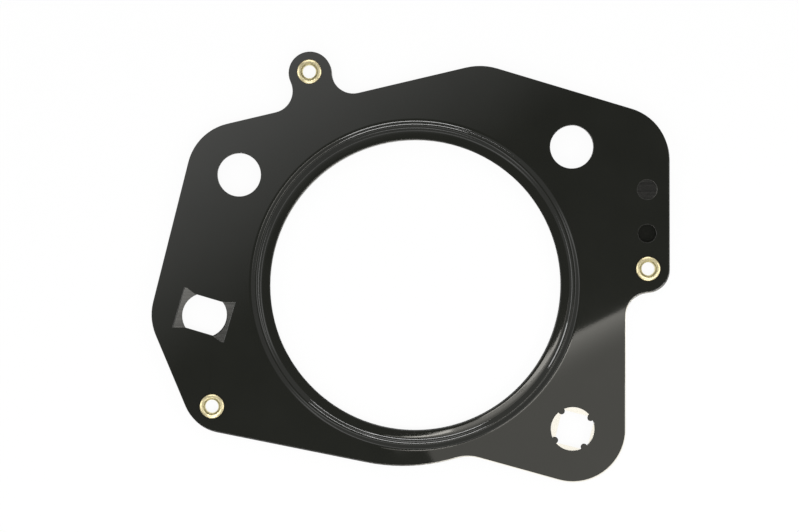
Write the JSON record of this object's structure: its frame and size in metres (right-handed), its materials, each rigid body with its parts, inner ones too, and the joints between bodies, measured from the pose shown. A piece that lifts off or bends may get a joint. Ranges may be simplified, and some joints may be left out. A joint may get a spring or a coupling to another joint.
{
  "type": "turbocharger gasket",
  "caption": "Thin multi-layer steel gasket with a large beaded bore, stud holes, a stud window and nibs, inspection holes, and brass eyelets in its ear, lug and corner.",
  "frame": {"origin": "centre of the bore, at mid-thickness of the stack", "axes": "+Z along the bore axis, out of the face with the stud window and nibs; +Y towards the apex and the ear; +X towards the lug with the right eyelet"},
  "size_m": [0.1087, 0.0904, 0.0022],
  "materials": {
    "coated_sheet": "satin black rubber coat on spring steel",
    "bare_sheet": "bare rolled stainless steel",
    "eyelet_brass": "rolled brass, satin"
  },
  "bodies": {
    "root": {"top_bead_layer": "coated_sheet", "middle_layer": "bare_sheet", "bottom_bead_layer": "coated_sheet", "eyelet_ear": "eyelet_brass", "eyelet_right": "eyelet_brass", "eyelet_lower_left": "eyelet_brass"}
  },
  "joints": []
}
